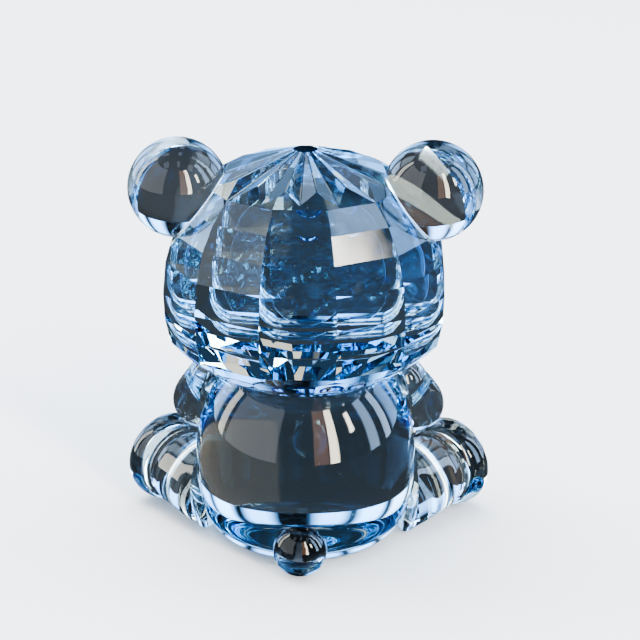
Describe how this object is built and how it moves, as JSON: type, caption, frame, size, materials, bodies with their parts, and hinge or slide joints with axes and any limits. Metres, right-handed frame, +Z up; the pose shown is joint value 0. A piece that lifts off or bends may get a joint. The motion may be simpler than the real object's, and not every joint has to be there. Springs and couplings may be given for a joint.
{
  "type": "crystal glass figurine",
  "caption": "Seated bear figurine of pale blue cut glass with a faceted head, pleated crown, round ears, splayed legs and a small round tail, resting on a flat base.",
  "frame": {"origin": "centre of the body's flat base, on the surface the bear sits on", "axes": "+Z up, -Y the way the bear faces, +X the bear's left; X = 0 is its plane of symmetry"},
  "size_m": [0.0644, 0.049, 0.0711],
  "materials": {
    "ice_crystal": "clear pale blue glass, cut and polished",
    "deep_crystal": "deeper blue glass, polished",
    "clear_resin": "clear cured adhesive film"
  },
  "bodies": {
    "root": {"body": "ice_crystal", "head": "ice_crystal", "ear_left": "ice_crystal", "ear_right": "ice_crystal", "muzzle": "ice_crystal", "arm_left": "ice_crystal", "arm_right": "ice_crystal", "leg_left": "ice_crystal", "leg_right": "ice_crystal", "tail": "ice_crystal", "nose": "deep_crystal", "eye_left": "deep_crystal", "eye_right": "deep_crystal", "neck_bond": "clear_resin", "ear_bond_left": "clear_resin", "ear_bond_right": "clear_resin", "muzzle_bond": "clear_resin", "nose_bond": "clear_resin", "eye_bond_left": "clear_resin", "eye_bond_right": "clear_resin", "arm_bond_left": "clear_resin", "arm_bond_right": "clear_resin", "leg_bond_left": "clear_resin", "leg_bond_right": "clear_resin", "tail_bond": "clear_resin"}
  },
  "joints": []
}
